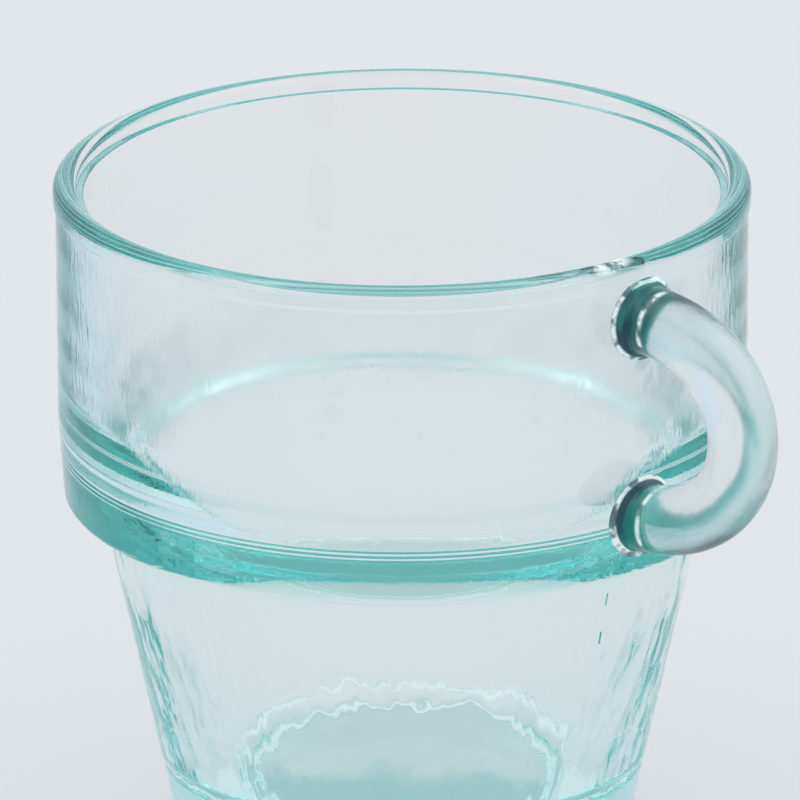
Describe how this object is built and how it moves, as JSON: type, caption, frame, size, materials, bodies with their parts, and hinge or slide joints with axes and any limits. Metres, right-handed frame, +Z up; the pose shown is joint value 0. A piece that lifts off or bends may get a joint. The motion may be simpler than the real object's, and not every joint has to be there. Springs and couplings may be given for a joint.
{
  "type": "stackable coffee cup",
  "caption": "Stackable coffee cup of thick pale aqua pressed glass: wide band with a rounded lip, stacking ledge, tapered well and a C-shaped glass rod handle.",
  "frame": {"origin": "centre of the flat base, on the surface the cup stands on", "axes": "+Z up along the cup's axis of revolution, +X through the middle of the handle"},
  "size_m": [0.1058, 0.085, 0.085],
  "materials": {
    "body_glass": "fire-polished pressed recycled glass, pale aqua, deeper teal where it is thick",
    "handle_glass": "fire-polished round glass rod, pale aqua, dark teal at the welded roots"
  },
  "bodies": {
    "root": {"cup_body": "body_glass", "handle": "handle_glass"}
  },
  "joints": []
}
